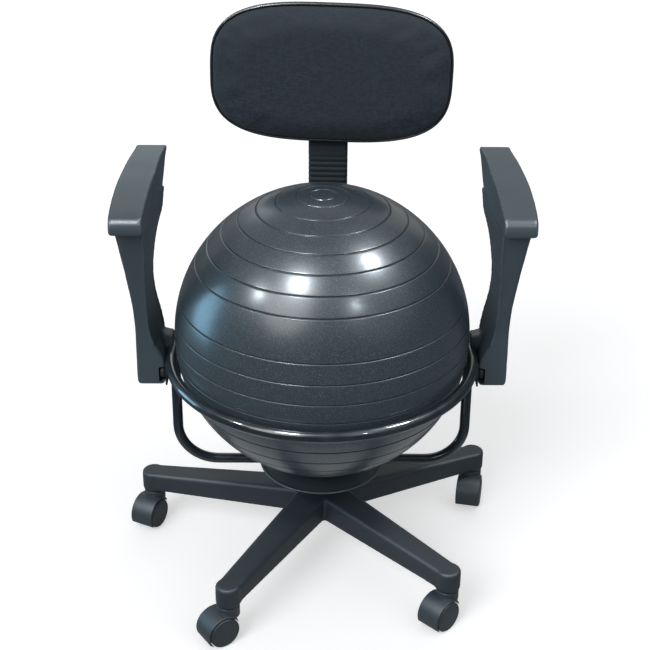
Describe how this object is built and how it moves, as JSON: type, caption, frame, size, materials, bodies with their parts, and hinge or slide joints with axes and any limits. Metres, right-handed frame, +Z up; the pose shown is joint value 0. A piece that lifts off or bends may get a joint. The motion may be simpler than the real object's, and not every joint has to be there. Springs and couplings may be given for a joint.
{
  "type": "balance ball chair",
  "caption": "Office chair with an inflated ball held in a steel ring as the seat, moulded arms, a height-adjustable padded backrest on a flat bar and a star base on twin-wheel casters.",
  "frame": {"origin": "on the floor, on the swivel axis of the star base", "axes": "+Z up; -Y is the front of the chair, where the sitter faces; +X is to the right as seen from the front"},
  "size_m": [0.6871, 0.6528, 0.9299],
  "materials": {
    "ball_vinyl": "slate grey glossy vinyl with a fine pearl speckle",
    "black_steel": "gloss black powder coat",
    "plain_steel": "zinc plated",
    "base_nylon": "satin dark slate moulded nylon",
    "arm_plastic": "satin slate grey moulded plastic, fine grain",
    "hood_plastic": "satin dark slate moulded plastic",
    "wheel_plastic": "satin moulded nylon tread and face",
    "black_rubber": "matt black rubber",
    "boot_rubber": "satin ribbed boot",
    "back_fabric": "dark blue grey woven cloth",
    "back_plywood": "plain plywood",
    "shell_plastic": "grained dark moulded shell",
    "knob_plastic": "satin black"
  },
  "bodies": {
    "base": {"star_base": "base_nylon", "swivel_post": "plain_steel", "post_clip": "plain_steel", "thrust_bearing": "plain_steel"},
    "caster_1": {"caster_1_hood": "hood_plastic", "caster_1_stem": "plain_steel", "caster_1_axle": "plain_steel"},
    "caster_1_wheel_a": {"caster_1_wheel_a": "wheel_plastic"},
    "caster_1_wheel_b": {"caster_1_wheel_b": "wheel_plastic"},
    "caster_2": {"caster_2_hood": "hood_plastic", "caster_2_stem": "plain_steel", "caster_2_axle": "plain_steel"},
    "caster_2_wheel_a": {"caster_2_wheel_a": "wheel_plastic"},
    "caster_2_wheel_b": {"caster_2_wheel_b": "wheel_plastic"},
    "caster_3": {"caster_3_hood": "hood_plastic", "caster_3_stem": "plain_steel", "caster_3_axle": "plain_steel"},
    "caster_3_wheel_a": {"caster_3_wheel_a": "wheel_plastic"},
    "caster_3_wheel_b": {"caster_3_wheel_b": "wheel_plastic"},
    "caster_4": {"caster_4_hood": "hood_plastic", "caster_4_stem": "plain_steel", "caster_4_axle": "plain_steel"},
    "caster_4_wheel_a": {"caster_4_wheel_a": "wheel_plastic"},
    "caster_4_wheel_b": {"caster_4_wheel_b": "wheel_plastic"},
    "caster_5": {"caster_5_hood": "hood_plastic", "caster_5_stem": "plain_steel", "caster_5_axle": "plain_steel"},
    "caster_5_wheel_a": {"caster_5_wheel_a": "wheel_plastic"},
    "caster_5_wheel_b": {"caster_5_wheel_b": "wheel_plastic"},
    "seat_frame": {"swivel_sleeve": "black_steel", "swivel_bush": "base_nylon", "mounting_plate": "black_steel", "support_dish": "black_steel", "back_bar_bolt_left": "plain_steel", "back_bar_bolt_right": "plain_steel", "ball_pad": "black_rubber", "side_tube": "black_steel", "ball_ring": "black_steel", "back_bar": "black_steel", "bellows_boot": "boot_rubber", "arm_tab_right": "black_steel", "arm_tab_left": "black_steel", "armrest_right": "arm_plastic", "armrest_left": "arm_plastic", "arm_spacer_right": "black_rubber", "arm_spacer_left": "black_rubber", "arm_bolt_right_front": "plain_steel", "arm_bolt_right_rear": "plain_steel", "arm_bolt_left_front": "plain_steel", "arm_bolt_left_rear": "plain_steel"},
    "ball": {"exercise_ball": "ball_vinyl", "valve_plug": "black_rubber"},
    "backrest": {"back_cushion": "back_fabric", "back_board": "back_plywood", "back_shell": "shell_plastic", "back_bracket": "black_steel", "bracket_screw_left": "plain_steel", "bracket_screw_right": "plain_steel"},
    "clamp": {"clamp_knob": "knob_plastic", "clamp_stud": "plain_steel"}
  },
  "joints": [
    {"name": "caster_1_swivel", "type": "hinge", "parent": "base", "child": "caster_1", "pos_m": [-0.30802, 0.06099, 0.068], "axis": [0, 0, 1], "continuous": true},
    {"name": "caster_1_wheel_a_roll", "type": "hinge", "parent": "caster_1", "child": "caster_1_wheel_a", "pos_m": [-0.31665, 0.04406, 0.02708], "axis": [0.891, -0.454, 0], "continuous": true},
    {"name": "caster_1_wheel_b_roll", "type": "hinge", "parent": "caster_1", "child": "caster_1_wheel_b", "pos_m": [-0.31665, 0.04406, 0.02708], "axis": [0.891, -0.454, 0], "continuous": true},
    {"name": "caster_2_swivel", "type": "hinge", "parent": "base", "child": "caster_2", "pos_m": [-0.15319, -0.2741, 0.068], "axis": [0, 0, 1], "continuous": true},
    {"name": "caster_2_wheel_a_roll", "type": "hinge", "parent": "caster_2", "child": "caster_2_wheel_a", "pos_m": [-0.16894, -0.28472, 0.02708], "axis": [0.5592, -0.829, 0], "continuous": true},
    {"name": "caster_2_wheel_b_roll", "type": "hinge", "parent": "caster_2", "child": "caster_2_wheel_b", "pos_m": [-0.16894, -0.28472, 0.02708], "axis": [0.5592, -0.829, 0], "continuous": true},
    {"name": "caster_3_swivel", "type": "hinge", "parent": "base", "child": "caster_3", "pos_m": [0.21335, -0.23039, 0.068], "axis": [0, 0, 1], "continuous": true},
    {"name": "caster_3_wheel_a_roll", "type": "hinge", "parent": "caster_3", "child": "caster_3_wheel_a", "pos_m": [0.20015, -0.24406, 0.02708], "axis": [0.7193, -0.6947, 0], "continuous": true},
    {"name": "caster_3_wheel_b_roll", "type": "hinge", "parent": "caster_3", "child": "caster_3_wheel_b", "pos_m": [0.20015, -0.24406, 0.02708], "axis": [0.7193, -0.6947, 0], "continuous": true},
    {"name": "caster_4_swivel", "type": "hinge", "parent": "base", "child": "caster_4", "pos_m": [0.28504, 0.13171, 0.068], "axis": [0, 0, 1], "continuous": true},
    {"name": "caster_4_wheel_a_roll", "type": "hinge", "parent": "caster_4", "child": "caster_4_wheel_a", "pos_m": [0.28109, 0.11312, 0.02708], "axis": [0.9781, -0.2079, 0], "continuous": true},
    {"name": "caster_4_wheel_b_roll", "type": "hinge", "parent": "caster_4", "child": "caster_4_wheel_b", "pos_m": [0.28109, 0.11312, 0.02708], "axis": [0.9781, -0.2079, 0], "continuous": true},
    {"name": "caster_5_swivel", "type": "hinge", "parent": "base", "child": "caster_5", "pos_m": [-0.03718, 0.31179, 0.068], "axis": [0, 0, 1], "continuous": true},
    {"name": "caster_5_wheel_a_roll", "type": "hinge", "parent": "caster_5", "child": "caster_5_wheel_a", "pos_m": [-0.04668, 0.29534, 0.02708], "axis": [0.866, -0.5, 0], "continuous": true},
    {"name": "caster_5_wheel_b_roll", "type": "hinge", "parent": "caster_5", "child": "caster_5_wheel_b", "pos_m": [-0.04668, 0.29534, 0.02708], "axis": [0.866, -0.5, 0], "continuous": true},
    {"name": "seat_swivel", "type": "hinge", "parent": "base", "child": "seat_frame", "pos_m": [0, 0, 0.145], "axis": [0, 0, 1], "continuous": true},
    {"name": "ball_lift", "type": "slide", "parent": "seat_frame", "child": "ball", "axis": [0, -0.1908, 0.9816], "range_m": [0, 0.25]},
    {"name": "back_height", "type": "slide", "parent": "seat_frame", "child": "backrest", "axis": [0, 0, 1], "range_m": [-0.04, 0.06], "deforming": ["bellows_boot"]},
    {"name": "back_clamp", "type": "hinge", "parent": "backrest", "child": "clamp", "pos_m": [0.01012, 0.28982, 0.728], "axis": [0.0349, 0.9994, 0], "range_deg": [0, 360]}
  ]
}
